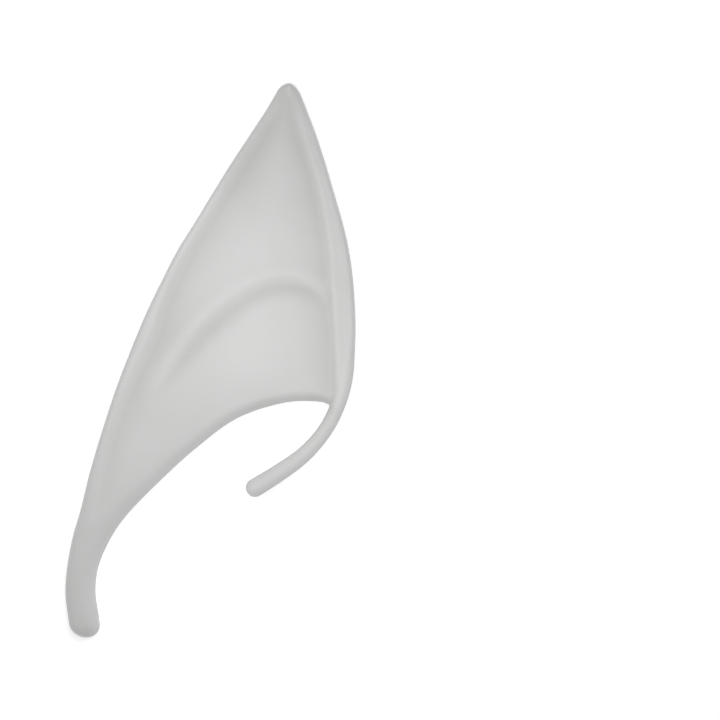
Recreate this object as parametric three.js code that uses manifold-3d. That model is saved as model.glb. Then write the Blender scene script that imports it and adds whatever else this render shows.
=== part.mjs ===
import * as THREE from 'three';
import { mergeVertices } from 'three/addons/utils/BufferGeometryUtils.js';
import Module from 'manifold-3d';

// Elf ear tip: one piece of moulded latex, open along its lower edge so that it slips over an ear.
// It lies on its back. X runs from the long arm to the front rim, Y from the long arm to the tip,
// Z up out of the face. Lengths are millimetres and the origin is under the middle of the piece.

// Overall sizes
const EAR_LENGTH = 125;
const EAR_WIDTH = 65.4;
const EAR_DEPTH = 16.2;

// Sizes that are set by themselves
const WALL = 1.4;
const RIM_WIDTH = 5;
const RIM_HEIGHT = 1.4;
const VALLEY_ROUND = 0.7;
const SHOULDER = 13;
const FACE_CROWN = 0.8;
const GROOVE_DEPTH = 0.7;
const GROOVE_WIDTH = 1.6;
const GROOVE_REACH = 2.2;
const RIDGE_HEIGHT = 0.3;
const RIDGE_WIDTH = 2.2;
const RIDGE_SETBACK = 3.4;
const MOUND_HEIGHT = 1.6;
const SHORT_ARM_DIAMETER = 3.9;
const ARM_END_LENGTH = 3.1;
const TIP_LENGTH = 2;
const HOLLOW_END_LENGTH = 4;
const MOUTH_CLEARANCE = 6;
const LIP_OVERLAP = 0.1;
const FLOOR_CLEARANCE = 3;

// Mesh fineness
const STATIONS = 68;
const END_STATIONS = 5;
const OUTER_STEPS = { rim: 6, face: 7, back: 14 };
const HOLLOW_STATIONS = 40;
const HOLLOW_STEPS = { rim: 3, face: 5, back: 8 };
const MOUTH_STATIONS = 26;
const FACE_GATHER = 1.5;
const ARM_STATIONS = 20;
const ARM_SIDES = 14;
const LINE_SAMPLES = 200;
const WELD = 1e-5;

// Back and front outline, a row for each section from the end of the long arm to the tip.
// The back outline is the helix side. The front outline is the mouth, then the front rim.
// x is a share of EAR_WIDTH and y of EAR_LENGTH.
const OUTLINE = [
  { backX: 0.020, backY: 0.000, frontX: 0.124, frontY: 0.000 },
  { backX: 0.008, backY: 0.041, frontX: 0.115, frontY: 0.041 },
  { backX: 0.000, backY: 0.083, frontX: 0.104, frontY: 0.083 },
  { backX: 0.007, backY: 0.129, frontX: 0.115, frontY: 0.129 },
  { backX: 0.027, backY: 0.183, frontX: 0.156, frontY: 0.178 },
  { backX: 0.055, backY: 0.232, frontX: 0.216, frontY: 0.223 },
  { backX: 0.089, backY: 0.302, frontX: 0.326, frontY: 0.282 },
  { backX: 0.134, backY: 0.379, frontX: 0.450, frontY: 0.341 },
  { backX: 0.193, backY: 0.469, frontX: 0.594, frontY: 0.396 },
  { backX: 0.275, backY: 0.575, frontX: 0.755, frontY: 0.424 },
  { backX: 0.340, backY: 0.646, frontX: 0.880, frontY: 0.426 },
  { backX: 0.390, backY: 0.697, frontX: 0.950, frontY: 0.416 },
  { backX: 0.448, backY: 0.746, frontX: 0.990, frontY: 0.486 },
  { backX: 0.510, backY: 0.800, frontX: 1.000, frontY: 0.576 },
  { backX: 0.578, backY: 0.858, frontX: 0.979, frontY: 0.694 },
  { backX: 0.640, backY: 0.908, frontX: 0.924, frontY: 0.806 },
  { backX: 0.695, backY: 0.953, frontX: 0.865, frontY: 0.906 },
  { backX: 0.746, backY: 1.000, frontX: 0.795, frontY: 1.000 },
];

// Heights of the same sections, as shares of EAR_DEPTH: the two edges seen from the front, the face
// between the rims, and the back. The runs, over which the face rolls down to each edge, are shares
// of RIM_WIDTH.
const SECTIONS = [
  { backEdge: 0.18, frontEdge: 0.18, face: 0.31, floor: 0.03, backRun: 0.30, frontRun: 0.60 },
  { backEdge: 0.19, frontEdge: 0.19, face: 0.36, floor: 0.01, backRun: 0.26, frontRun: 0.64 },
  { backEdge: 0.19, frontEdge: 0.19, face: 0.38, floor: 0.00, backRun: 0.26, frontRun: 0.68 },
  { backEdge: 0.22, frontEdge: 0.22, face: 0.41, floor: 0.02, backRun: 0.24, frontRun: 0.76 },
  { backEdge: 0.26, frontEdge: 0.27, face: 0.46, floor: 0.05, backRun: 0.22, frontRun: 0.80 },
  { backEdge: 0.31, frontEdge: 0.34, face: 0.54, floor: 0.06, backRun: 0.20, frontRun: 0.74 },
  { backEdge: 0.37, frontEdge: 0.42, face: 0.63, floor: 0.04, backRun: 0.18, frontRun: 0.60 },
  { backEdge: 0.43, frontEdge: 0.52, face: 0.72, floor: 0.02, backRun: 0.18, frontRun: 0.54 },
  { backEdge: 0.50, frontEdge: 0.59, face: 0.80, floor: 0.00, backRun: 0.18, frontRun: 0.50 },
  { backEdge: 0.53, frontEdge: 0.64, face: 0.84, floor: 0.00, backRun: 0.18, frontRun: 0.48 },
  { backEdge: 0.53, frontEdge: 0.66, face: 0.85, floor: 0.00, backRun: 0.18, frontRun: 0.46 },
  { backEdge: 0.53, frontEdge: 0.66, face: 0.85, floor: 0.00, backRun: 0.18, frontRun: 0.34 },
  { backEdge: 0.51, frontEdge: 0.63, face: 0.84, floor: 0.00, backRun: 0.18, frontRun: 0.20 },
  { backEdge: 0.46, frontEdge: 0.58, face: 0.80, floor: 0.00, backRun: 0.18, frontRun: 0.16 },
  { backEdge: 0.41, frontEdge: 0.51, face: 0.70, floor: 0.00, backRun: 0.18, frontRun: 0.16 },
  { backEdge: 0.36, frontEdge: 0.42, face: 0.59, floor: 0.03, backRun: 0.18, frontRun: 0.16 },
  { backEdge: 0.30, frontEdge: 0.32, face: 0.47, floor: 0.06, backRun: 0.18, frontRun: 0.16 },
  { backEdge: 0.24, frontEdge: 0.24, face: 0.36, floor: 0.10, backRun: 0.18, frontRun: 0.18 },
];

// Valley at the foot of the back rim, from the long arm up past the tip. The rise of the rim above
// the face and the depth of the valley below it are shares of RIM_HEIGHT. The flank, from the valley
// up to the crest, and the foot, from the valley out to the face, are shares of RIM_WIDTH.
const BACK_VALLEY = [
  { x: 0.113, y: 0.150, rise: 0.00, depth: 0.00, flank: 0.50, foot: 0.80 },
  { x: 0.124, y: 0.218, rise: 0.06, depth: 0.12, flank: 0.50, foot: 0.90 },
  { x: 0.151, y: 0.302, rise: 0.12, depth: 0.30, flank: 0.54, foot: 1.00 },
  { x: 0.190, y: 0.376, rise: 0.18, depth: 0.42, flank: 0.58, foot: 1.10 },
  { x: 0.258, y: 0.464, rise: 0.24, depth: 0.52, flank: 0.60, foot: 1.20 },
  { x: 0.326, y: 0.536, rise: 0.30, depth: 0.58, flank: 0.60, foot: 1.30 },
  { x: 0.375, y: 0.608, rise: 0.36, depth: 0.60, flank: 0.60, foot: 1.50 },
  { x: 0.440, y: 0.680, rise: 0.36, depth: 0.60, flank: 0.60, foot: 1.60 },
  { x: 0.522, y: 0.752, rise: 0.36, depth: 0.60, flank: 0.60, foot: 1.60 },
  { x: 0.605, y: 0.824, rise: 0.36, depth: 0.60, flank: 0.60, foot: 1.40 },
  { x: 0.687, y: 0.896, rise: 0.34, depth: 0.54, flank: 0.56, foot: 1.10 },
  { x: 0.763, y: 0.962, rise: 0.28, depth: 0.42, flank: 0.44, foot: 0.70 },
  { x: 0.820, y: 1.020, rise: 0.18, depth: 0.24, flank: 0.34, foot: 0.40 },
];

// Valley at the foot of the front rim, from above the tip down past the mouth.
const FRONT_VALLEY = [
  { x: 0.730, y: 1.030, rise: 0.16, depth: 0.24, flank: 0.30, foot: 0.50 },
  { x: 0.766, y: 0.968, rise: 0.24, depth: 0.38, flank: 0.32, foot: 0.80 },
  { x: 0.806, y: 0.896, rise: 0.28, depth: 0.46, flank: 0.36, foot: 1.30 },
  { x: 0.848, y: 0.824, rise: 0.30, depth: 0.48, flank: 0.38, foot: 1.60 },
  { x: 0.876, y: 0.752, rise: 0.30, depth: 0.48, flank: 0.38, foot: 1.70 },
  { x: 0.895, y: 0.680, rise: 0.30, depth: 0.46, flank: 0.38, foot: 1.70 },
  { x: 0.902, y: 0.608, rise: 0.32, depth: 0.46, flank: 0.38, foot: 1.70 },
  { x: 0.911, y: 0.536, rise: 0.36, depth: 0.46, flank: 0.38, foot: 1.50 },
  { x: 0.914, y: 0.470, rise: 0.42, depth: 0.46, flank: 0.38, foot: 1.30 },
  { x: 0.914, y: 0.410, rise: 0.42, depth: 0.46, flank: 0.38, foot: 1.10 },
];

// Arched fold across the face, from its faint end near the long arm to the front rim.
const ARCH = [
  { x: 0.289, y: 0.415, strength: 0.0 },
  { x: 0.375, y: 0.477, strength: 0.7 },
  { x: 0.460, y: 0.536, strength: 1.0 },
  { x: 0.563, y: 0.588, strength: 1.0 },
  { x: 0.667, y: 0.622, strength: 1.0 },
  { x: 0.763, y: 0.635, strength: 1.0 },
  { x: 0.838, y: 0.627, strength: 1.0 },
  { x: 0.892, y: 0.610, strength: 0.6 },
  { x: 0.935, y: 0.590, strength: 0.0 },
];

// Soft mound of the face under the arched fold. along and across are shares of EAR_LENGTH.
const MOUND = { x: 0.68, y: 0.515, along: 0.16, across: 0.085, turn: 38 };

// Free edge of the back wall, from the long arm to the root of the short arm.
const BACK_EDGE = [
  { x: 0.118, y: 0.140 },
  { x: 0.122, y: 0.200 },
  { x: 0.165, y: 0.262 },
  { x: 0.235, y: 0.330 },
  { x: 0.340, y: 0.400 },
  { x: 0.490, y: 0.455 },
  { x: 0.670, y: 0.490 },
  { x: 0.850, y: 0.500 },
  { x: 0.994, y: 0.490 },
];

// Middle line of the short arm, from inside the front rim to its free end. z is a share of EAR_DEPTH
// and size a share of SHORT_ARM_DIAMETER.
const SHORT_ARM = [
  { x: 0.968, y: 0.527, z: 0.75, size: 1.04 },
  { x: 0.962, y: 0.473, z: 0.79, size: 1.02 },
  { x: 0.942, y: 0.424, z: 0.80, size: 0.88 },
  { x: 0.897, y: 0.376, z: 0.73, size: 0.86 },
  { x: 0.826, y: 0.333, z: 0.62, size: 0.93 },
  { x: 0.736, y: 0.298, z: 0.50, size: 1.03 },
  { x: 0.628, y: 0.263, z: 0.41, size: 1.10 },
];

// Rows between which the hollow and the mouth lie, counted from 0 at the end of the long arm
const HOLLOW_FROM_ROW = 3.3;
const HOLLOW_TO_ROW = 16;
const MOUTH_FROM_ROW = 3.1;
const MOUTH_TO_ROW = 12.2;

// Shares across a section where its lines gather if it misses the valleys or the arched fold, and the
// least and most that each may be
const USUAL_BACK_VALLEY = 0.45;
const BACK_VALLEY_REACH = [0.05, 0.5];
const USUAL_ARCH = 0.65;
const USUAL_FRONT_VALLEY = 0.93;
const FRONT_VALLEY_REACH = [0.6, 0.98];
const LEAST_FACE_SHARE = 0.08;
const CROSSING_REACH = 0.6;
const CROSSING_HALVINGS = 12;

// Value of one column at a place from 0 at the first row to 1 at the last, as a smooth curve
function columnAt(table, name, place) {
  const last = table.length - 1;
  const row = Math.min(Math.floor(place * last), last - 1);
  const part = place * last - row;
  const [a, b, c, d] = [-1, 0, 1, 2].map((step) => table[THREE.MathUtils.clamp(row + step, 0, last)][name]);
  const slope = (c - a) / 2;
  const bend = a - 2.5 * b + 2 * c - 0.5 * d;
  const twist = 1.5 * (b - c) + 0.5 * (d - a);
  return b + part * (slope + part * (bend + part * twist));
}

// Point in plan from the x and y columns of a table
function pointAt(table, place, xName = 'x', yName = 'y') {
  return new THREE.Vector2(
    (columnAt(table, xName, place) - 0.5) * EAR_WIDTH,
    (columnAt(table, yName, place) - 0.5) * EAR_LENGTH,
  );
}

// Quarter of an ellipse: 0 at the edge, 1 where the run ends
function quarterRound(share) {
  const rest = 1 - THREE.MathUtils.clamp(share, 0, 1);
  return Math.sqrt(1 - rest * rest);
}

function bell(share) {
  return Math.exp(-share * share);
}

// Back and front end of a section, drawn together where the long arm and the tip round off
function sectionAt(place) {
  const back = pointAt(OUTLINE, place, 'backX', 'backY');
  const front = pointAt(OUTLINE, place, 'frontX', 'frontY');
  const middle = back.clone().add(front).multiplyScalar(0.5);
  const armEnd = pointAt(OUTLINE, 0, 'backX', 'backY').add(pointAt(OUTLINE, 0, 'frontX', 'frontY'));
  const tip = pointAt(OUTLINE, 1, 'backX', 'backY').add(pointAt(OUTLINE, 1, 'frontX', 'frontY'));
  const fromArm = middle.distanceTo(armEnd.multiplyScalar(0.5)) / ARM_END_LENGTH;
  const fromTip = middle.distanceTo(tip.multiplyScalar(0.5)) / TIP_LENGTH;
  const spread = quarterRound(fromArm) * quarterRound(fromTip);
  return {
    place,
    back: back.lerp(middle, 1 - spread),
    front: front.lerp(middle, 1 - spread),
  };
}

// Line through sampled points, each with its place
function sampledLine(pointOf) {
  return Array.from({ length: LINE_SAMPLES + 1 }, (_, index) => {
    const place = index / LINE_SAMPLES;
    return { place, point: pointOf(place) };
  });
}

const BACK_LINE = sampledLine((place) => sectionAt(place).back);
const FRONT_LINE = sampledLine((place) => sectionAt(place).front);
const BACK_VALLEY_LINE = sampledLine((place) => pointAt(BACK_VALLEY, place));
const FRONT_VALLEY_LINE = sampledLine((place) => pointAt(FRONT_VALLEY, place));
const ARCH_LINE = sampledLine((place) => pointAt(ARCH, place));

// Distance to a line, the place of the nearest point on it, and the side: 1 on the left of the line's
// own direction and -1 on the right.
function nearestOn(line, point) {
  let nearest = { distance: Infinity };
  for (let index = 0; index < line.length - 1; index += 1) {
    const start = line[index];
    const end = line[index + 1];
    const way = end.point.clone().sub(start.point);
    const toPoint = point.clone().sub(start.point);
    const part = THREE.MathUtils.clamp(toPoint.dot(way) / way.lengthSq(), 0, 1);
    const distance = toPoint.clone().addScaledVector(way, -part).length();
    if (distance < nearest.distance) {
      nearest = {
        distance,
        side: Math.sign(way.cross(toPoint)) || 1,
        place: THREE.MathUtils.lerp(start.place, end.place, part),
      };
    }
  }
  return nearest;
}

// Rise of a rim on the outer side of its valley, and depth of the valley on both sides of it. The
// inner skin stays at the valley's depth under the rim, so that the rim is thick.
function rimRelief(table, line, point, inset) {
  const { distance, side, place } = nearestOn(line, point);
  const rise = Math.max(columnAt(table, 'rise', place), 0) * RIM_HEIGHT;
  const depth = Math.max(columnAt(table, 'depth', place), 0) * RIM_HEIGHT;
  if (side > 0) {
    const climb = THREE.MathUtils.smoothstep(distance, 0, columnAt(table, 'flank', place) * RIM_WIDTH);
    return { rise: rise * climb, depth: inset > 0 ? depth : depth * (1 - climb) };
  }
  const away = Math.hypot(distance, VALLEY_ROUND) - VALLEY_ROUND;
  const near = Math.max(1 - away / (columnAt(table, 'foot', place) * RIM_WIDTH), 0);
  return { rise: 0, depth: depth * near * near };
}

// Both rims and their valleys, together where they meet at the tip
function rimsRelief(point, inset) {
  const back = rimRelief(BACK_VALLEY, BACK_VALLEY_LINE, point, inset);
  const front = rimRelief(FRONT_VALLEY, FRONT_VALLEY_LINE, point, inset);
  return Math.max(back.rise, front.rise) - Math.max(back.depth, front.depth);
}

// Low ridge outside the arched fold, and its groove, steep outside and gentle inside
function archRelief(point) {
  const { distance, side, place } = nearestOn(ARCH_LINE, point);
  const groove = GROOVE_DEPTH * bell(distance / (side > 0 ? GROOVE_WIDTH : GROOVE_REACH));
  const ridge = RIDGE_HEIGHT * bell((side * distance - RIDGE_SETBACK) / RIDGE_WIDTH);
  return Math.max(columnAt(ARCH, 'strength', place), 0) * (ridge - groove);
}

function moundRelief(point) {
  const centre = new THREE.Vector2((MOUND.x - 0.5) * EAR_WIDTH, (MOUND.y - 0.5) * EAR_LENGTH);
  const offset = point.clone().rotateAround(centre, -MOUND.turn * THREE.MathUtils.DEG2RAD).sub(centre);
  const along = offset.x / (MOUND.along * EAR_LENGTH);
  const across = offset.y / (MOUND.across * EAR_LENGTH);
  return MOUND_HEIGHT * bell(along) * bell(across);
}

// Face between its edges, at a share across a section
function faceHeight(place, across, point, inset) {
  const plain = columnAt(SECTIONS, 'face', place) * EAR_DEPTH + FACE_CROWN * 4 * across * (1 - across);
  return plain + archRelief(point) + moundRelief(point) + rimsRelief(point, inset) - inset;
}

// Heights of the face side and the back side over one point of a section. inset moves both inward
// from the outer skin, for the inner skin of the hollow.
function heightsAt(section, across, point, inset) {
  const { place } = section;
  const edge = THREE.MathUtils.lerp(
    columnAt(SECTIONS, 'backEdge', place),
    columnAt(SECTIONS, 'frontEdge', place),
    across,
  ) * EAR_DEPTH;
  const toBack = Math.max(nearestOn(BACK_LINE, point).distance - inset, 0);
  const toFront = Math.max(nearestOn(FRONT_LINE, point).distance - inset, 0);
  const rolled = quarterRound(toBack / (columnAt(SECTIONS, 'backRun', place) * RIM_WIDTH))
    * quarterRound(toFront / (columnAt(SECTIONS, 'frontRun', place) * RIM_WIDTH));
  const shoulder = Math.min(SHOULDER, section.back.distanceTo(section.front) / 2);
  const flattened = quarterRound(toBack / shoulder) * quarterRound(toFront / shoulder);
  const face = faceHeight(place, across, point, inset);
  const floor = Math.max(columnAt(SECTIONS, 'floor', place), 0) * EAR_DEPTH + inset;
  return {
    face: edge + (face - edge) * rolled,
    back: edge + (floor - edge) * flattened,
    edge,
  };
}

// Share across a section at which it crosses a line, or the usual share where it misses the line
function crossing(line, section, usual) {
  const nearestAt = (across) => nearestOn(line, section.back.clone().lerp(section.front, across));
  const startSide = nearestAt(0).side;
  if (nearestAt(1).side === startSide) return usual;
  let low = 0;
  let high = 1;
  for (let step = 0; step < CROSSING_HALVINGS; step += 1) {
    const middle = (low + high) / 2;
    if (nearestAt(middle).side === startSide) low = middle;
    else high = middle;
  }
  return nearestAt(low).distance < CROSSING_REACH ? low : usual;
}

// Shares across the face of a section, with the lines gathered at both edges and at the fold
function faceShares(section, steps) {
  const { clamp, lerp } = THREE.MathUtils;
  const backValley = clamp(crossing(BACK_VALLEY_LINE, section, USUAL_BACK_VALLEY), ...BACK_VALLEY_REACH);
  const frontValley = clamp(crossing(FRONT_VALLEY_LINE, section, USUAL_FRONT_VALLEY), ...FRONT_VALLEY_REACH);
  const arch = clamp(
    crossing(ARCH_LINE, section, USUAL_ARCH),
    backValley + LEAST_FACE_SHARE,
    frontValley - LEAST_FACE_SHARE,
  );
  const shares = [];
  for (let step = 0; step < steps.rim; step += 1) {
    shares.push(backValley * (1 - Math.cos(Math.PI / 2 * step / steps.rim)));
  }
  for (let step = 0; step < steps.face; step += 1) {
    shares.push(lerp(backValley, arch, 1 - (1 - step / steps.face) ** FACE_GATHER));
  }
  for (let step = 0; step < steps.face; step += 1) {
    shares.push(lerp(arch, frontValley, (step / steps.face) ** FACE_GATHER));
  }
  for (let step = 0; step < steps.rim; step += 1) {
    shares.push(lerp(frontValley, 1, Math.sin(Math.PI / 2 * step / steps.rim)));
  }
  return shares;
}

// Ring of points around one section, over the face from back to front and home under the back
function sectionRing(section, inset, steps) {
  const ring = [];
  const addPoint = (across, side) => {
    const point = section.back.clone().lerp(section.front, across);
    const heights = heightsAt(section, across, point, inset);
    const onEdge = across === 0 || across === 1;
    ring.push(new THREE.Vector3(point.x, point.y, onEdge ? heights.edge : heights[side]));
  };
  faceShares(section, steps).forEach((across) => addPoint(across, 'face'));
  for (let step = 0; step < steps.back; step += 1) {
    addPoint((1 + Math.cos(Math.PI * step / steps.back)) / 2, 'back');
  }
  return ring;
}

// Closed skin over a row of rings with the same number of points, capped at both ends
function skin(rings) {
  const sides = rings[0].length;
  const positions = rings.flat();
  const indices = [];
  for (let ring = 0; ring < rings.length - 1; ring += 1) {
    for (let side = 0; side < sides; side += 1) {
      const next = (side + 1) % sides;
      const [a, b] = [ring * sides + side, ring * sides + next];
      const [c, d] = [a + sides, b + sides];
      indices.push(a, b, c, b, d, c);
    }
  }
  const addCap = (ring, flip) => {
    const centre = positions.length;
    const middle = new THREE.Vector3();
    rings[ring].forEach((point) => middle.addScaledVector(point, 1 / sides));
    positions.push(middle);
    for (let side = 0; side < sides; side += 1) {
      const a = ring * sides + side;
      const b = ring * sides + (side + 1) % sides;
      indices.push(...(flip ? [centre, a, b] : [centre, b, a]));
    }
  };
  addCap(0, false);
  addCap(rings.length - 1, true);
  const geometry = new THREE.BufferGeometry().setFromPoints(positions);
  geometry.setIndex(indices);
  return geometry;
}

const wasm = await Module();
wasm.setup();

function toSolid(geometry) {
  const merged = mergeVertices(geometry, WELD);
  return new wasm.Manifold(new wasm.Mesh({
    numProp: 3,
    vertProperties: new Float32Array(merged.attributes.position.array),
    triVerts: new Uint32Array(merged.index.array),
  }));
}

function toGeometry(solid) {
  const { vertProperties, triVerts } = solid.getMesh();
  const geometry = new THREE.BufferGeometry();
  geometry.setAttribute('position', new THREE.BufferAttribute(vertProperties, 3));
  geometry.setIndex(new THREE.BufferAttribute(triVerts, 1));
  geometry.computeVertexNormals();
  return geometry;
}

// Places from the end of the long arm to the tip, close together where the ends round off. The first
// and last are half a step in, so that the flat caps stay small.
function outerPlaces() {
  const rows = OUTLINE.length - 1;
  const armRows = ARM_END_LENGTH / sectionMiddle(0).distanceTo(sectionMiddle(1 / rows));
  const tipRows = TIP_LENGTH / sectionMiddle(1).distanceTo(sectionMiddle(1 - 1 / rows));
  const places = [];
  for (let step = 0; step < END_STATIONS; step += 1) {
    places.push(armRows / rows * (1 - Math.cos(Math.PI / 2 * (step + 0.5) / END_STATIONS)));
  }
  for (let step = 0; step <= STATIONS; step += 1) {
    places.push(THREE.MathUtils.lerp(armRows / rows, 1 - tipRows / rows, step / STATIONS));
  }
  for (let step = END_STATIONS - 1; step >= 0; step -= 1) {
    places.push(1 - tipRows / rows * (1 - Math.cos(Math.PI / 2 * (step + 0.5) / END_STATIONS)));
  }
  return places;
}

function sectionMiddle(place) {
  const back = pointAt(OUTLINE, place, 'backX', 'backY');
  return back.add(pointAt(OUTLINE, place, 'frontX', 'frontY')).multiplyScalar(0.5);
}

function outerSkin() {
  const rings = outerPlaces().map((place) => sectionRing(sectionAt(place), 0, OUTER_STEPS));
  return toSolid(skin(rings));
}

// Unit vector to the left of a line's direction at a place
function leftOf(pointOf, place) {
  const step = 1 / LINE_SAMPLES;
  const ahead = pointOf(Math.min(place + step, 1));
  const way = ahead.sub(pointOf(Math.max(place - step, 0))).normalize();
  return new THREE.Vector2(-way.y, way.x);
}

// Hollow of the pocket and of the long arm's gutter, one wall inside the outer skin. Its own ends
// round off over HOLLOW_END_LENGTH.
function hollow() {
  const rows = OUTLINE.length - 1;
  const backOf = (place) => sectionAt(place).back;
  const frontOf = (place) => sectionAt(place).front;
  const inner = (place) => ({
    place,
    back: backOf(place).addScaledVector(leftOf(backOf, place), -WALL),
    front: frontOf(place).addScaledVector(leftOf(frontOf, place), WALL),
  });
  const middleOf = (section) => section.back.clone().add(section.front).multiplyScalar(0.5);
  const ends = [HOLLOW_FROM_ROW, HOLLOW_TO_ROW].map((row) => middleOf(inner(row / rows)));
  const rings = [];
  for (let step = 1; step < HOLLOW_STATIONS; step += 1) {
    const share = (1 - Math.cos(Math.PI * step / HOLLOW_STATIONS)) / 2;
    const even = step / HOLLOW_STATIONS;
    const row = THREE.MathUtils.lerp(HOLLOW_FROM_ROW, HOLLOW_TO_ROW, (share + even) / 2);
    const section = inner(row / rows);
    const middle = middleOf(section);
    const roundAt = (end) => quarterRound(middle.distanceTo(end) / HOLLOW_END_LENGTH);
    const spread = roundAt(ends[0]) * roundAt(ends[1]);
    const ring = sectionRing(section, WALL, HOLLOW_STEPS);
    const centre = new THREE.Vector3();
    ring.forEach((point) => centre.addScaledVector(point, 1 / ring.length));
    rings.push(ring.map((point) => point.lerp(centre, 1 - spread)));
  }
  return toSolid(skin(rings));
}

// Space cut away at the mouth: below the rolled lip of the face, out to the back wall's free edge. It
// reaches LIP_OVERLAP above the lip's edge, so that no skin stays between it and the hollow.
function mouth() {
  const rows = OUTLINE.length - 1;
  const frontOf = (place) => sectionAt(place).front;
  const rings = [];
  for (let step = 0; step <= MOUTH_STATIONS; step += 1) {
    const share = step / MOUTH_STATIONS;
    const place = THREE.MathUtils.lerp(MOUTH_FROM_ROW, MOUTH_TO_ROW, share) / rows;
    const inside = pointAt(BACK_EDGE, share);
    const outside = frontOf(place).addScaledVector(leftOf(frontOf, place), -MOUTH_CLEARANCE);
    const top = columnAt(SECTIONS, 'frontEdge', place) * EAR_DEPTH + LIP_OVERLAP;
    rings.push([
      new THREE.Vector3(inside.x, inside.y, top),
      new THREE.Vector3(outside.x, outside.y, top),
      new THREE.Vector3(outside.x, outside.y, -FLOOR_CLEARANCE),
      new THREE.Vector3(inside.x, inside.y, -FLOOR_CLEARANCE),
    ]);
  }
  return toSolid(skin(rings));
}

// Round rod of the short arm, with a rounded free end
function shortArm() {
  const radius = SHORT_ARM_DIAMETER / 2;
  const path = new THREE.CatmullRomCurve3(SHORT_ARM.map(({ x, y, z }) => (
    new THREE.Vector3((x - 0.5) * EAR_WIDTH, (y - 0.5) * EAR_LENGTH, z * EAR_DEPTH)
  )));
  const length = path.getLength();
  const frames = path.computeFrenetFrames(ARM_STATIONS + END_STATIONS, false);
  const endShare = radius / length;
  const rings = [];
  for (let step = 0; step < ARM_STATIONS + END_STATIONS; step += 1) {
    const turn = Math.PI / 2 * Math.max(step - ARM_STATIONS, 0) / END_STATIONS;
    const share = Math.min(step / ARM_STATIONS, 1) * (1 - endShare) + endShare * Math.sin(turn);
    const centre = path.getPointAt(share);
    const size = radius * columnAt(SHORT_ARM, 'size', share) * Math.cos(turn);
    const { normals, binormals } = frames;
    const ring = [];
    for (let side = 0; side < ARM_SIDES; side += 1) {
      const angle = 2 * Math.PI * side / ARM_SIDES;
      ring.push(centre.clone()
        .addScaledVector(normals[step], size * Math.cos(angle))
        .addScaledVector(binormals[step], size * Math.sin(angle)));
    }
    rings.push(ring);
  }
  return toSolid(skin(rings));
}

function buildEarShell() {
  const latex = new THREE.MeshStandardMaterial({ color: 0xe4e4e1, roughness: 0.62, metalness: 0 });
  const shell = outerSkin().subtract(hollow()).subtract(mouth()).add(shortArm());
  const mesh = new THREE.Mesh(toGeometry(shell), latex);
  mesh.name = 'ear_shell';
  return mesh;
}

const ear = new THREE.Group();
ear.add(buildEarShell());

export default ear;
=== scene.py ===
import math

import bpy
import numpy as np
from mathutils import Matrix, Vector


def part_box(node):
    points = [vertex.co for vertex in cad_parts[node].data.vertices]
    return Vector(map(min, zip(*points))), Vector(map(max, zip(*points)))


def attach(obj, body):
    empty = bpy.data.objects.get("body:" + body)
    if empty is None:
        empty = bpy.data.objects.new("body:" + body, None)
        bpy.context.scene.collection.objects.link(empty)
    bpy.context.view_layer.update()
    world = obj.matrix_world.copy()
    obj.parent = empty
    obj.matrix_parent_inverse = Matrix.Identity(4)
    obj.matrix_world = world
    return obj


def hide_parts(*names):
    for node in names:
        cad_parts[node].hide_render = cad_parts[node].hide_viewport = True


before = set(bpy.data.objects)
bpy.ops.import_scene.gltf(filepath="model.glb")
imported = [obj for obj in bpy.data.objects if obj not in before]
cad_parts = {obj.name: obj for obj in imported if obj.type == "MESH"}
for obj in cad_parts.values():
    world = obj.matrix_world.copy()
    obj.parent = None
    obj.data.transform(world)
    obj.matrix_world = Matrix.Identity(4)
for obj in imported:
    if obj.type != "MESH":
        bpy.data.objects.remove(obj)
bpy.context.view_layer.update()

# Elf ear tip in moulded latex, lying on its back. Lengths are metres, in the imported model's frame:
# X runs from the long arm to the front rim, Y from the long arm to the tip, Z up out of the face.

LOW, HIGH = (np.array(corner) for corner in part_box("ear_shell"))
EAR_WIDTH, EAR_LENGTH = (HIGH - LOW)[:2]
MM = 0.001

# Sizes of the moulded form
EAR_DEPTH = 16.2 * MM
WALL = 1.4 * MM
RIM_WIDTH = 5 * MM
RIM_HEIGHT = 1.4 * MM
VALLEY_ROUND = 0.7 * MM
SHOULDER = 13 * MM
FACE_CROWN = 0.8 * MM
GROOVE_DEPTH = 0.7 * MM
GROOVE_WIDTH = 1.6 * MM
GROOVE_REACH = 2.2 * MM
RIDGE_HEIGHT = 0.3 * MM
RIDGE_WIDTH = 2.2 * MM
RIDGE_SETBACK = 3.4 * MM
MOUND_HEIGHT = 1.6 * MM
SHORT_ARM_DIAMETER = 3.9 * MM
ARM_END_LENGTH = 3.1 * MM
TIP_LENGTH = 2 * MM
HOLLOW_END_LENGTH = 4 * MM
MOUTH_CLEARANCE = 6 * MM
LIP_OVERLAP = 0.1 * MM
FLOOR_CLEARANCE = 3 * MM

# Fineness of the mesh. The rounds of smoothing are followed by as many rounds that give back the size
# it takes. CHUNK is how many points are measured at once.
STATIONS = 300
END_STATIONS = 16
FACE_STEPS = 150
BACK_STEPS = 60
HOLLOW_STATIONS = 160
MOUTH_STATIONS = 90
ARM_STATIONS = 90
ARM_SIDES = 40
ARM_END_STATIONS = 12
ARM_SAMPLES = 720
LINE_SAMPLES = 260
VOXEL = 0.40 * MM
SMOOTH_ROUNDS = 5
SMOOTHING = 0.5
RESTORING = -0.52
CHUNK = 4000
LEAST_LENGTH_SQUARED = 1e-16

# Painted shade of the creases: how far it reaches over the rim and over the face, how far up a surface
# has to face to have it in full, and the height that only the face side has
RIM_SHADE = 1.0 * MM
FACE_SHADE = 1.7 * MM
FACING_UP = 0.4
ABOVE_HOLLOW = 3.2 * MM

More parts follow.
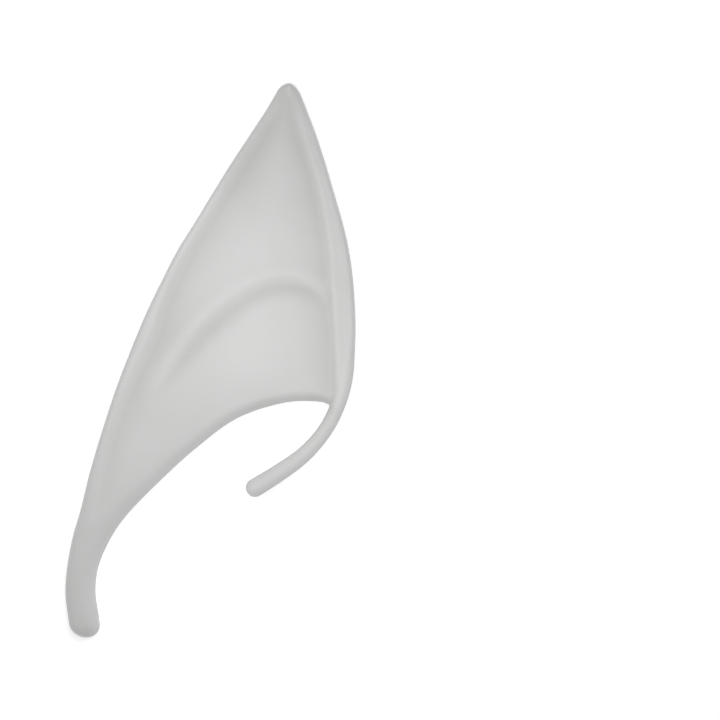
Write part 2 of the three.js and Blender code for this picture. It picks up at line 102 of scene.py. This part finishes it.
# Frame of the photograph in its own pixels, and the camera
PHOTO_SIZE_PX = 720
PHOTO_EAR_LENGTH_PX = 556
PHOTO_EAR_MIDDLE_PX = (210, 360.5)
LENS_MM = 200
SENSOR_MM = 36
FOCUS_HEIGHT = 6 * MM

# Look of the latex. A noise texture has its scale in waves a metre, its detail and its roughness.
MOTTLING = {"scale": 45, "detail": 3, "roughness": 0.5}
MOTTLING_TONES = [(0.35, (0.560, 0.560, 0.556)), (0.65, (0.590, 0.590, 0.587))]
# Painted shade: the colour that the base colour is multiplied by in the creases, darker and a little
# warm
PAINTED_CREASE_SHADE = (0.85, 0.85, 0.838, 1)
GLOSS = {"scale": 160, "detail": 4, "roughness": 0.5}
ROUGHNESS = (0.52, 0.66)
PORES = {"scale": 2600, "detail": 3, "roughness": 0.6}
PORE_STRENGTH = 0.12
PORE_DEPTH = 0.05 * MM
RIPPLES = {"scale": 140, "detail": 2, "roughness": 0.5}
RIPPLE_STRENGTH = 0.25
RIPPLE_DEPTH = 0.15 * MM
SUBSURFACE_WEIGHT = 0.12
SUBSURFACE_RADIUS = (1.0, 0.8, 0.7)
SUBSURFACE_SCALE = 1.2 * MM
SPECULAR_LEVEL = 0.35

# Floor, from its middle out, and the softbox over the ear
FLOOR_REACH = 3
FLOOR_TONE = (0.90, 0.90, 0.90, 1)
FLOOR_ROUGHNESS = 0.8
FLOOR_GLOW = 0.4
WHITE = (1, 1, 1, 1)
SOFTBOX_SIDE = 0.10
SOFTBOX_POWER = 0.118
SOFTBOX_PLACE = (0.010, 0.010, 0.138)

# Direction that the room is brightest in, and its glow on the darkest and the brightest side
BRIGHT_SIDE = (-0.8, 0.6, 0)
ROOM_GLOW = (0.44, 0.57)

# Back and front outline, a row for each section from the end of the long arm to the tip. The back
# outline is the helix side. The front outline is the mouth, then the front rim. x is a share of
# EAR_WIDTH and y of EAR_LENGTH.
OUTLINE_COLUMNS = ("back_x", "back_y", "front_x", "front_y")
OUTLINE = [
    (0.020, 0.000, 0.124, 0.000),
    (0.008, 0.041, 0.115, 0.041),
    (0.000, 0.083, 0.104, 0.083),
    (0.007, 0.129, 0.115, 0.129),
    (0.027, 0.183, 0.156, 0.178),
    (0.055, 0.232, 0.216, 0.223),
    (0.089, 0.302, 0.326, 0.282),
    (0.134, 0.379, 0.450, 0.341),
    (0.193, 0.469, 0.594, 0.396),
    (0.275, 0.575, 0.755, 0.424),
    (0.340, 0.646, 0.880, 0.426),
    (0.390, 0.697, 0.950, 0.416),
    (0.448, 0.746, 0.990, 0.486),
    (0.510, 0.800, 1.000, 0.576),
    (0.578, 0.858, 0.979, 0.694),
    (0.640, 0.908, 0.924, 0.806),
    (0.695, 0.953, 0.865, 0.906),
    (0.746, 1.000, 0.795, 1.000),
]

# Heights of the same sections, as shares of EAR_DEPTH: the two edges seen from the front, the face
# between the rims, and the back. The runs, over which the face rolls down to each edge, are shares
# of RIM_WIDTH.
SECTION_COLUMNS = ("back_edge", "front_edge", "face", "floor", "back_run", "front_run")
SECTIONS = [
    (0.18, 0.18, 0.31, 0.03, 0.30, 0.60),
    (0.19, 0.19, 0.36, 0.01, 0.26, 0.64),
    (0.19, 0.19, 0.38, 0.00, 0.26, 0.68),
    (0.22, 0.22, 0.41, 0.02, 0.24, 0.76),
    (0.26, 0.27, 0.46, 0.05, 0.22, 0.80),
    (0.31, 0.34, 0.54, 0.06, 0.20, 0.74),
    (0.37, 0.42, 0.63, 0.04, 0.18, 0.60),
    (0.43, 0.52, 0.72, 0.02, 0.18, 0.54),
    (0.50, 0.59, 0.80, 0.00, 0.18, 0.50),
    (0.53, 0.64, 0.84, 0.00, 0.18, 0.48),
    (0.53, 0.66, 0.85, 0.00, 0.18, 0.46),
    (0.53, 0.66, 0.85, 0.00, 0.18, 0.34),
    (0.51, 0.63, 0.84, 0.00, 0.18, 0.20),
    (0.46, 0.58, 0.80, 0.00, 0.18, 0.16),
    (0.41, 0.51, 0.70, 0.00, 0.18, 0.16),
    (0.36, 0.42, 0.59, 0.03, 0.18, 0.16),
    (0.30, 0.32, 0.47, 0.06, 0.18, 0.16),
    (0.24, 0.24, 0.36, 0.10, 0.18, 0.18),
]

# Valleys at the foot of the two rims. The rise of a rim above the face and the depth of its valley
# below it are shares of RIM_HEIGHT. The flank, from the valley up to the crest, and the foot, from the
# valley out to the face, are shares of RIM_WIDTH.
VALLEY_COLUMNS = ("x", "y", "rise", "depth", "flank", "foot")
BACK_VALLEY = [
    (0.113, 0.150, 0.00, 0.00, 0.50, 0.80),
    (0.124, 0.218, 0.06, 0.12, 0.50, 0.90),
    (0.151, 0.302, 0.12, 0.30, 0.54, 1.00),
    (0.190, 0.376, 0.18, 0.42, 0.58, 1.10),
    (0.258, 0.464, 0.24, 0.52, 0.60, 1.20),
    (0.326, 0.536, 0.30, 0.58, 0.60, 1.30),
    (0.375, 0.608, 0.36, 0.60, 0.60, 1.50),
    (0.440, 0.680, 0.36, 0.60, 0.60, 1.60),
    (0.522, 0.752, 0.36, 0.60, 0.60, 1.60),
    (0.605, 0.824, 0.36, 0.60, 0.60, 1.40),
    (0.687, 0.896, 0.34, 0.54, 0.56, 1.10),
    (0.763, 0.962, 0.28, 0.42, 0.44, 0.70),
    (0.820, 1.020, 0.18, 0.24, 0.34, 0.40),
]
FRONT_VALLEY = [
    (0.730, 1.030, 0.16, 0.24, 0.30, 0.50),
    (0.766, 0.968, 0.24, 0.38, 0.32, 0.80),
    (0.806, 0.896, 0.28, 0.46, 0.36, 1.30),
    (0.848, 0.824, 0.30, 0.48, 0.38, 1.60),
    (0.876, 0.752, 0.30, 0.48, 0.38, 1.70),
    (0.895, 0.680, 0.30, 0.46, 0.38, 1.70),
    (0.902, 0.608, 0.32, 0.46, 0.38, 1.70),
    (0.911, 0.536, 0.36, 0.46, 0.38, 1.50),
    (0.914, 0.470, 0.42, 0.46, 0.38, 1.30),
    (0.914, 0.410, 0.42, 0.46, 0.38, 1.10),
]

# Arched fold across the face, from its faint end near the long arm to the front rim
ARCH_COLUMNS = ("x", "y", "strength")
ARCH = [
    (0.289, 0.415, 0.0),
    (0.375, 0.477, 0.7),
    (0.460, 0.536, 1.0),
    (0.563, 0.588, 1.0),
    (0.667, 0.622, 1.0),
    (0.763, 0.635, 1.0),
    (0.838, 0.627, 1.0),
    (0.892, 0.610, 0.6),
    (0.935, 0.590, 0.0),
]

# Soft mound of the face under the arched fold. along and across are shares of EAR_LENGTH.
MOUND = {"x": 0.68, "y": 0.515, "along": 0.16, "across": 0.085, "turn": math.radians(38)}

# Free edge of the back wall, from the long arm to the root of the short arm
BACK_EDGE_COLUMNS = ("x", "y")
BACK_EDGE = [
    (0.118, 0.140),
    (0.122, 0.200),
    (0.165, 0.262),
    (0.235, 0.330),
    (0.340, 0.400),
    (0.490, 0.455),
    (0.670, 0.490),
    (0.850, 0.500),
    (0.994, 0.490),
]

# Middle line of the short arm, from inside the front rim to its free end. z is a share of EAR_DEPTH
# and size a share of SHORT_ARM_DIAMETER.
SHORT_ARM_COLUMNS = ("x", "y", "z", "size")
SHORT_ARM = [
    (0.968, 0.527, 0.75, 1.04),
    (0.962, 0.473, 0.79, 1.02),
    (0.942, 0.424, 0.80, 0.88),
    (0.897, 0.376, 0.73, 0.86),
    (0.826, 0.333, 0.62, 0.93),
    (0.736, 0.298, 0.50, 1.03),
    (0.628, 0.263, 0.41, 1.10),
]

# Rows between which the hollow and the mouth lie, counted from 0 at the end of the long arm
LAST_ROW = len(OUTLINE) - 1
HOLLOW_FROM_ROW = 3.3
HOLLOW_TO_ROW = 16
MOUTH_FROM_ROW = 3.1
MOUTH_TO_ROW = 12.2


def columns_of(names, rows):
    return dict(zip(names, np.array(rows, float).T))


OUTLINE = columns_of(OUTLINE_COLUMNS, OUTLINE)
SECTIONS = columns_of(SECTION_COLUMNS, SECTIONS)
BACK_VALLEY = columns_of(VALLEY_COLUMNS, BACK_VALLEY)
FRONT_VALLEY = columns_of(VALLEY_COLUMNS, FRONT_VALLEY)
ARCH = columns_of(ARCH_COLUMNS, ARCH)
BACK_EDGE = columns_of(BACK_EDGE_COLUMNS, BACK_EDGE)
SHORT_ARM = columns_of(SHORT_ARM_COLUMNS, SHORT_ARM)


def column_at(table, name, place):
    """Smooth value of a column at places from 0 at the first row to 1 at the last."""
    values = table[name]
    last = len(values) - 1
    spot = np.clip(place, 0, 1) * last
    row = np.minimum(np.floor(spot).astype(int), last - 1)
    part = spot - row
    a, b, c, d = (values[np.clip(row + step, 0, last)] for step in (-1, 0, 1, 2))
    slope = (c - a) / 2
    bend = a - 2.5 * b + 2 * c - 0.5 * d
    twist = 1.5 * (b - c) + 0.5 * (d - a)
    return b + part * (slope + part * (bend + part * twist))


def plan_at(table, place, x_name="x", y_name="y"):
    """Points in plan from the x and y columns of a table."""
    return np.stack([
        (column_at(table, x_name, place) - 0.5) * EAR_WIDTH,
        (column_at(table, y_name, place) - 0.5) * EAR_LENGTH,
    ], axis=-1)


def quarter_round(share):
    """Quarter of an ellipse: 0 at the edge, 1 where the run ends."""
    return np.sqrt(1 - (1 - np.clip(share, 0, 1)) ** 2)


def bell(share):
    return np.exp(-share ** 2)


def smooth_step(share):
    share = np.clip(share, 0, 1)
    return share * share * (3 - 2 * share)


def section_at(place):
    """Back and front ends of sections, drawn together where the long arm and the tip round off."""
    back = plan_at(OUTLINE, place, "back_x", "back_y")
    front = plan_at(OUTLINE, place, "front_x", "front_y")
    middle = (back + front) / 2
    ends = np.array([0.0, 1.0])
    back_ends = plan_at(OUTLINE, ends, "back_x", "back_y")
    front_ends = plan_at(OUTLINE, ends, "front_x", "front_y")
    arm_end, tip = (back_ends + front_ends) / 2
    from_arm = np.linalg.norm(middle - arm_end, axis=-1) / ARM_END_LENGTH
    from_tip = np.linalg.norm(middle - tip, axis=-1) / TIP_LENGTH
    spread = (quarter_round(from_arm) * quarter_round(from_tip))[..., None]
    return middle + (back - middle) * spread, middle + (front - middle) * spread


PLACES = np.linspace(0, 1, LINE_SAMPLES + 1)
BACK_LINE, FRONT_LINE = section_at(PLACES)
BACK_VALLEY_LINE = plan_at(BACK_VALLEY, PLACES)
FRONT_VALLEY_LINE = plan_at(FRONT_VALLEY, PLACES)
ARCH_LINE = plan_at(ARCH, PLACES)


def nearest_on(line, points):
    """Signed distance to a line, positive on its left, and the place of the nearest point on it."""
    start, way = line[:-1], line[1:] - line[:-1]
    length_squared = np.maximum((way ** 2).sum(-1), LEAST_LENGTH_SQUARED)
    signed, places = [], []
    for first in range(0, len(points), CHUNK):
        to_point = points[first:first + CHUNK, None] - start
        part = np.clip((to_point * way).sum(-1) / length_squared, 0, 1)
        away = to_point - part[..., None] * way
        distance = np.sqrt((away ** 2).sum(-1))
        best = distance.argmin(1)
        rows = np.arange(len(best))
        turn = way[best, 0] * to_point[rows, best, 1] - way[best, 1] * to_point[rows, best, 0]
        signed.append(np.where(turn < 0, -1, 1) * distance[rows, best])
        places.append((best + part[rows, best]) / (len(line) - 1))
    return np.concatenate(signed), np.concatenate(places)


def rim_relief(table, line, points, inset):
    """Rise of a rim on the outer side of its valley, and depth of the valley on both sides of it.

    The inner skin stays at the valley's depth under the rim, so that the rim is thick.
    """
    distance, place = nearest_on(line, points)
    rim = distance > 0
    reach = np.where(rim, column_at(table, "flank", place), column_at(table, "foot", place)) * RIM_WIDTH
    inside = np.clip(1 - (np.hypot(distance, VALLEY_ROUND) - VALLEY_ROUND) / reach, 0, 1) ** 2
    outside = 1 - smooth_step(distance / reach) if inset == 0 else 1
    near = np.where(rim, outside, inside)
    rise = np.maximum(column_at(table, "rise", place), 0) * RIM_HEIGHT * np.where(rim, 1 - near, 0)
    return rise, np.maximum(column_at(table, "depth", place), 0) * RIM_HEIGHT * near


def rims_relief(points, inset):
    """Rise of both rims and depth of their valleys, together where they meet at the tip."""
    back_rise, back_depth = rim_relief(BACK_VALLEY, BACK_VALLEY_LINE, points, inset)
    front_rise, front_depth = rim_relief(FRONT_VALLEY, FRONT_VALLEY_LINE, points, inset)
    return np.maximum(back_rise, front_rise), np.maximum(back_depth, front_depth)


def arch_relief(points):
    """Low ridge outside the arched fold, and its groove, steep outside and gentle inside."""
    distance, place = nearest_on(ARCH_LINE, points)
    strength = np.maximum(column_at(ARCH, "strength", place), 0)
    groove = GROOVE_DEPTH * bell(distance / np.where(distance > 0, GROOVE_WIDTH, GROOVE_REACH))
    ridge = RIDGE_HEIGHT * bell((distance - RIDGE_SETBACK) / RIDGE_WIDTH)
    return strength * ridge, strength * groove


def mound_relief(points):
    centre = np.array([(MOUND["x"] - 0.5) * EAR_WIDTH, (MOUND["y"] - 0.5) * EAR_LENGTH])
    x, y = (points - centre).T
    along = x * math.cos(MOUND["turn"]) + y * math.sin(MOUND["turn"])
    across = y * math.cos(MOUND["turn"]) - x * math.sin(MOUND["turn"])
    length, width = MOUND["along"] * EAR_LENGTH, MOUND["across"] * EAR_LENGTH
    return MOUND_HEIGHT * bell(along / length) * bell(across / width)


def heights_at(place, across, points, width, inset):
    """Heights of the face side and the back side over points of sections.

    inset moves both inward from the outer skin, for the inner skin of the hollow.
    """
    back_edge, front_edge = (column_at(SECTIONS, name, place) for name in ("back_edge", "front_edge"))
    edge = (back_edge + (front_edge - back_edge) * across) * EAR_DEPTH
    to_back = np.maximum(np.abs(nearest_on(BACK_LINE, points)[0]) - inset, 0)
    to_front = np.maximum(np.abs(nearest_on(FRONT_LINE, points)[0]) - inset, 0)
    rolled = quarter_round(to_back / (column_at(SECTIONS, "back_run", place) * RIM_WIDTH))
    rolled *= quarter_round(to_front / (column_at(SECTIONS, "front_run", place) * RIM_WIDTH))
    shoulder = np.minimum(SHOULDER, width / 2)
    flattened = quarter_round(to_back / shoulder) * quarter_round(to_front / shoulder)
    face = column_at(SECTIONS, "face", place) * EAR_DEPTH + FACE_CROWN * 4 * across * (1 - across)
    for rise, depth in (arch_relief(points), rims_relief(points, inset)):
        face += rise - depth
    face += mound_relief(points) - inset
    floor = np.maximum(column_at(SECTIONS, "floor", place), 0) * EAR_DEPTH + inset
    return edge + (face - edge) * rolled, edge + (floor - edge) * flattened, edge


def section_rings(place, back, front, inset):
    """Rings of points around sections, over the face from back to front and home under the back."""
    face_turn = np.linspace(0, 1, FACE_STEPS + 1)[:-1]
    back_turn = np.linspace(1, 0, BACK_STEPS + 1)[:-1]
    across = (1 - np.cos(np.pi * np.concatenate([face_turn, back_turn]))) / 2
    shape = (len(place), len(across))
    points = back[:, None] + (front - back)[:, None] * across[None, :, None]
    flat = [np.broadcast_to(values, shape).ravel() for values in (
        place[:, None], across[None], np.linalg.norm(front - back, axis=-1)[:, None])]
    face_z, back_z, edge_z = (z.reshape(shape) for z in heights_at(
        flat[0], flat[1], points.reshape(-1, 2), flat[2], inset))
    z = np.where(np.arange(shape[1]) < FACE_STEPS, face_z, back_z)
    z[:, 0] = edge_z[:, 0]
    z[:, FACE_STEPS] = edge_z[:, FACE_STEPS]
    return np.dstack([points, z])


def add_mesh(name, verts, faces):
    mesh = bpy.data.meshes.new(name)
    mesh.from_pydata([tuple(vert) for vert in verts], [], faces)
    mesh.update()
    made = bpy.data.objects.new(name, mesh)
    bpy.context.collection.objects.link(made)
    return made


def skin(name, rings):
    """Closed mesh over a row of rings with the same number of points, capped at both ends."""
    count, sides = rings.shape[:2]
    faces = []
    for ring in range(count - 1):
        for side in range(sides):
            a = ring * sides + side
            b = ring * sides + (side + 1) % sides
            faces.append((a, b, b + sides, a + sides))
    faces.append(tuple(range(sides - 1, -1, -1)))
    faces.append(tuple(range((count - 1) * sides, count * sides)))
    return add_mesh(name, rings.reshape(-1, 3), faces)


def outer_skin():
    rows = np.array([0.0, 1.0, LAST_ROW - 1.0, LAST_ROW]) / LAST_ROW
    back, front = (plan_at(OUTLINE, rows, f"{side}_x", f"{side}_y") for side in ("back", "front"))
    middle = (back + front) / 2
    arm_share = ARM_END_LENGTH / np.linalg.norm(middle[1] - middle[0]) / LAST_ROW
    tip_share = TIP_LENGTH / np.linalg.norm(middle[3] - middle[2]) / LAST_ROW
    turn = (np.arange(END_STATIONS) + 0.5) / END_STATIONS * math.pi / 2
    place = np.concatenate([
        arm_share * (1 - np.cos(turn)),
        np.linspace(arm_share, 1 - tip_share, STATIONS),
        1 - tip_share * (1 - np.cos(turn[::-1])),
    ])
    return skin("ear_skin", section_rings(place, *section_at(place), 0))


def left_of(line_at, place):
    """Unit vectors to the left of a line's direction."""
    step = 1 / LINE_SAMPLES
    way = line_at(np.minimum(place + step, 1)) - line_at(np.maximum(place - step, 0))
    way /= np.linalg.norm(way, axis=-1)[:, None]
    return np.stack([-way[:, 1], way[:, 0]], axis=-1)


def back_at(place):
    return section_at(place)[0]


def front_at(place):
    return section_at(place)[1]


def hollow():
    """Pocket and gutter, one wall inside the outer skin, with ends that round off."""
    def inner(place):
        back = back_at(place) - WALL * left_of(back_at, place)
        front = front_at(place) + WALL * left_of(front_at, place)
        return back, front

    even = np.linspace(0, 1, HOLLOW_STATIONS + 1)[1:-1]
    share = ((1 - np.cos(np.pi * even)) / 2 + even) / 2
    place = (HOLLOW_FROM_ROW + (HOLLOW_TO_ROW - HOLLOW_FROM_ROW) * share) / LAST_ROW
    back, front = inner(place)
    ends = np.mean(inner(np.array([HOLLOW_FROM_ROW, HOLLOW_TO_ROW]) / LAST_ROW), axis=0)
    spread = np.ones(len(place))
    for end in ends:
        spread *= quarter_round(np.linalg.norm((back + front) / 2 - end, axis=-1) / HOLLOW_END_LENGTH)
    rings = section_rings(place, back, front, WALL)
    centre = rings.mean(axis=1, keepdims=True)
    return skin("hollow", centre + (rings - centre) * spread[:, None, None])


def mouth():
    """Space below the rolled lip of the face, out to the back wall's free edge.

    It reaches LIP_OVERLAP above the lip's edge, so that no skin stays between it and the hollow.
    """
    share = np.linspace(0, 1, MOUTH_STATIONS)
    place = (MOUTH_FROM_ROW + (MOUTH_TO_ROW - MOUTH_FROM_ROW) * share) / LAST_ROW
    inside = plan_at(BACK_EDGE, share)
    outside = front_at(place) - MOUTH_CLEARANCE * left_of(front_at, place)
    top = column_at(SECTIONS, "front_edge", place) * EAR_DEPTH + LIP_OVERLAP
    bottom = np.full(len(place), -FLOOR_CLEARANCE)
    rings = np.stack([
        np.column_stack([inside, top]),
        np.column_stack([outside, top]),
        np.column_stack([outside, bottom]),
        np.column_stack([inside, bottom]),
    ], axis=1)
    return skin("mouth", rings)


def short_arm():
    """Round rod with a rounded free end."""
    radius = SHORT_ARM_DIAMETER / 2
    fine = np.linspace(0, 1, ARM_SAMPLES)
    path = np.column_stack([plan_at(SHORT_ARM, fine), column_at(SHORT_ARM, "z", fine) * EAR_DEPTH])
    run = np.concatenate([[0], np.cumsum(np.linalg.norm(np.diff(path, axis=0), axis=1))])
    turn = np.linspace(0, math.pi / 2, ARM_END_STATIONS + 2)[1:-1]
    straight = np.linspace(0, run[-1] - radius, ARM_STATIONS)
    spots = np.concatenate([straight, run[-1] - radius * (1 - np.sin(turn))])
    sizes = np.concatenate([np.full(ARM_STATIONS, radius), radius * np.cos(turn)])
    sizes *= np.interp(spots, run, column_at(SHORT_ARM, "size", fine))
    middle = np.column_stack([np.interp(spots, run, axis) for axis in path.T])
    step = radius / 4
    ahead = np.column_stack([np.interp(spots + step, run, axis) for axis in path.T])
    behind = np.column_stack([np.interp(spots - step, run, axis) for axis in path.T])
    way = ahead - behind
    way /= np.linalg.norm(way, axis=1)[:, None]
    side = np.cross(way, [0, 0, 1])
    side /= np.linalg.norm(side, axis=1)[:, None]
    up = np.cross(side, way)
    angle = np.linspace(0, 2 * math.pi, ARM_SIDES, endpoint=False)[None, :, None]
    ring = side[:, None] * np.cos(angle) + up[:, None] * np.sin(angle)
    return skin("short_arm", middle[:, None] + ring * sizes[:, None, None])


def boolean(target, tool, operation):
    step = target.modifiers.new(operation, "BOOLEAN")
    step.operation = operation
    step.solver = "EXACT"
    step.object = tool


def applied(target, name):
    """New object with the target's modifiers worked into its mesh."""
    graph = bpy.context.evaluated_depsgraph_get()
    mesh = bpy.data.meshes.new_from_object(target.evaluated_get(graph))
    mesh.name = name
    made = bpy.data.objects.new(name, mesh)
    bpy.context.collection.objects.link(made)
    return made


def remove(*objects):
    for thing in objects:
        mesh = thing.data
        bpy.data.objects.remove(thing)
        bpy.data.meshes.remove(mesh)


def ear():
    """The whole ear tip as one smooth closed mesh."""
    outer, inner, cut, arm = outer_skin(), hollow(), mouth(), short_arm()
    boolean(outer, inner, "DIFFERENCE")
    boolean(outer, cut, "DIFFERENCE")
    boolean(outer, arm, "UNION")
    joined = applied(outer, "joined")
    remesh = joined.modifiers.new("even", "REMESH")
    remesh.mode = "VOXEL"
    remesh.voxel_size = VOXEL
    for factor in (SMOOTHING, RESTORING):
        smooth = joined.modifiers.new("smooth", "SMOOTH")
        smooth.factor = factor
        smooth.iterations = SMOOTH_ROUNDS
    made = applied(joined, "elf_ear")
    remove(outer, inner, cut, arm, joined)
    made.data.polygons.foreach_set("use_smooth", [True] * len(made.data.polygons))
    return made


def paint_crease_shade(made):
    """Point attribute of painted shade: 1 in the deepest valleys and in the arched fold, and 0 on open
    faces.
    """
    points, normals = (np.empty(3 * len(made.data.vertices)) for _ in range(2))
    made.data.vertices.foreach_get("co", points)
    made.data.vertices.foreach_get("normal", normals)
    points, normals = points.reshape(-1, 3), normals.reshape(-1, 3)
    plan = points[:, :2]
    # Painted shade: its strength falls off from each valley line, further over the face than over the
    # rim
    depth = np.zeros(len(plan))
    for table, line in ((BACK_VALLEY, BACK_VALLEY_LINE), (FRONT_VALLEY, FRONT_VALLEY_LINE)):
        distance, place = nearest_on(line, plan)
        falling = np.where(distance > 0, (distance / RIM_SHADE) ** 2, -distance / FACE_SHADE)
        share = column_at(table, "depth", place) / table["depth"].max()
        depth = np.maximum(depth, share ** 2 / (1 + falling))
    distance, place = nearest_on(ARCH_LINE, plan)
    width = np.where(distance > 0, RIM_SHADE, FACE_SHADE)
    depth = np.maximum(depth, column_at(ARCH, "strength", place) / (1 + (distance / width) ** 2))
    on_face = smooth_step(normals[:, 2] / FACING_UP) * (points[:, 2] > ABOVE_HOLLOW)
    depth = np.clip(depth, 0, 1) * on_face
    painted_crease_shade = made.data.attributes.new("painted_crease_shade", "FLOAT", "POINT")
    painted_crease_shade.data.foreach_set("value", depth)


def in_use(sockets, name):
    """Socket of a name that the node's data type has in use."""
    return next(socket for socket in sockets if socket.enabled and socket.name == name)


def latex_material():
    """Matte off-white latex: faint mottling, fine pores and ripples, and painted shade that makes the
    creases darker and warmer.
    """
    material = bpy.data.materials.new("latex")
    material.use_nodes = True
    nodes, links = material.node_tree.nodes, material.node_tree.links
    shader = nodes["Principled BSDF"]
    place = nodes.new("ShaderNodeTexCoord")

    def noise(scale, detail, roughness):
        node = nodes.new("ShaderNodeTexNoise")
        node.inputs["Scale"].default_value = scale
        node.inputs["Detail"].default_value = detail
        node.inputs["Roughness"].default_value = roughness
        links.new(place.outputs["Object"], node.inputs["Vector"])
        return node.outputs["Fac"]

    def ramp(source, stops):
        node = nodes.new("ShaderNodeValToRGB")
        for element, (position, color) in zip(node.color_ramp.elements, stops):
            element.position = position
            element.color = (*color, 1)
        links.new(source, node.inputs["Fac"])
        return node.outputs["Color"]

    cloud = ramp(noise(**MOTTLING), MOTTLING_TONES)
    # Painted shade: the crease attribute multiplies the base colour darker in the valleys and the
    # arched fold
    painted_crease_shade = nodes.new("ShaderNodeAttribute")
    painted_crease_shade.attribute_name = "painted_crease_shade"
    shade_painting = nodes.new("ShaderNodeMix")
    shade_painting.data_type = "RGBA"
    shade_painting.blend_type = "MULTIPLY"
    links.new(painted_crease_shade.outputs["Fac"], in_use(shade_painting.inputs, "Factor"))
    links.new(cloud, in_use(shade_painting.inputs, "A"))
    in_use(shade_painting.inputs, "B").default_value = PAINTED_CREASE_SHADE
    links.new(in_use(shade_painting.outputs, "Result"), shader.inputs["Base Color"])

    gloss = nodes.new("ShaderNodeMapRange")
    gloss.inputs["To Min"].default_value, gloss.inputs["To Max"].default_value = ROUGHNESS
    links.new(noise(**GLOSS), gloss.inputs["Value"])
    links.new(gloss.outputs["Result"], shader.inputs["Roughness"])

    pores = nodes.new("ShaderNodeBump")
    pores.inputs["Strength"].default_value = PORE_STRENGTH
    pores.inputs["Distance"].default_value = PORE_DEPTH
    links.new(noise(**PORES), pores.inputs["Height"])
    ripples = nodes.new("ShaderNodeBump")
    ripples.inputs["Strength"].default_value = RIPPLE_STRENGTH
    ripples.inputs["Distance"].default_value = RIPPLE_DEPTH
    links.new(noise(**RIPPLES), ripples.inputs["Height"])
    links.new(pores.outputs["Normal"], ripples.inputs["Normal"])
    links.new(ripples.outputs["Normal"], shader.inputs["Normal"])

    shader.inputs["Subsurface Weight"].default_value = SUBSURFACE_WEIGHT
    shader.inputs["Subsurface Radius"].default_value = SUBSURFACE_RADIUS
    shader.inputs["Subsurface Scale"].default_value = SUBSURFACE_SCALE
    shader.inputs["Specular IOR Level"].default_value = SPECULAR_LEVEL
    return material


def floor_material():
    """White floor with a faint glow of its own."""
    material = bpy.data.materials.new("floor")
    material.use_nodes = True
    shader = material.node_tree.nodes["Principled BSDF"]
    shader.inputs["Base Color"].default_value = FLOOR_TONE
    shader.inputs["Roughness"].default_value = FLOOR_ROUGHNESS
    shader.inputs["Emission Color"].default_value = WHITE
    shader.inputs["Emission Strength"].default_value = FLOOR_GLOW
    return material


def studio():
    """Pale floor, a room that glows more on one side, a softbox straight above, and the camera."""
    corners = [(x * FLOOR_REACH, y * FLOOR_REACH, 0) for x, y in ((-1, -1), (1, -1), (1, 1), (-1, 1))]
    floor = add_mesh("floor", corners, [(0, 1, 2, 3)])
    floor.data.materials.append(floor_material())

    world = bpy.data.worlds.new("studio")
    bpy.context.scene.world = world
    world.use_nodes = True
    nodes, links = world.node_tree.nodes, world.node_tree.links
    way = nodes.new("ShaderNodeTexCoord")
    toward = nodes.new("ShaderNodeVectorMath")
    toward.operation = "DOT_PRODUCT"
    toward.inputs[1].default_value = BRIGHT_SIDE
    links.new(way.outputs["Generated"], toward.inputs[0])
    glow = nodes.new("ShaderNodeMapRange")
    glow.inputs["From Min"].default_value = -1
    glow.inputs["To Min"].default_value, glow.inputs["To Max"].default_value = ROOM_GLOW
    links.new(toward.outputs["Value"], glow.inputs["Value"])
    links.new(glow.outputs["Result"], nodes["Background"].inputs["Strength"])
    nodes["Background"].inputs["Color"].default_value = WHITE

    panel = bpy.data.lights.new("softbox", "AREA")
    panel.shape = "SQUARE"
    panel.size = SOFTBOX_SIDE
    panel.energy = SOFTBOX_POWER
    lamp = bpy.data.objects.new("softbox", panel)
    lamp.location = SOFTBOX_PLACE
    lamp.visible_camera = False
    bpy.context.collection.objects.link(lamp)

    metres_per_px = EAR_LENGTH / PHOTO_EAR_LENGTH_PX
    camera = bpy.data.cameras.new("camera")
    camera.lens = LENS_MM
    camera.sensor_width = SENSOR_MM
    view = bpy.data.objects.new("camera", camera)
    middle = PHOTO_SIZE_PX / 2
    distance = PHOTO_SIZE_PX * metres_per_px * LENS_MM / SENSOR_MM
    view.location = (
        (middle - PHOTO_EAR_MIDDLE_PX[0]) * metres_per_px,
        (PHOTO_EAR_MIDDLE_PX[1] - middle) * metres_per_px,
        FOCUS_HEIGHT + distance,
    )
    bpy.context.collection.objects.link(view)
    bpy.context.scene.camera = view
    bpy.context.scene.view_settings.view_transform = "Standard"


shell = ear()
paint_crease_shade(shell)
shell.data.materials.append(latex_material())
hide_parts("ear_shell")
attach(shell, "root")
studio()
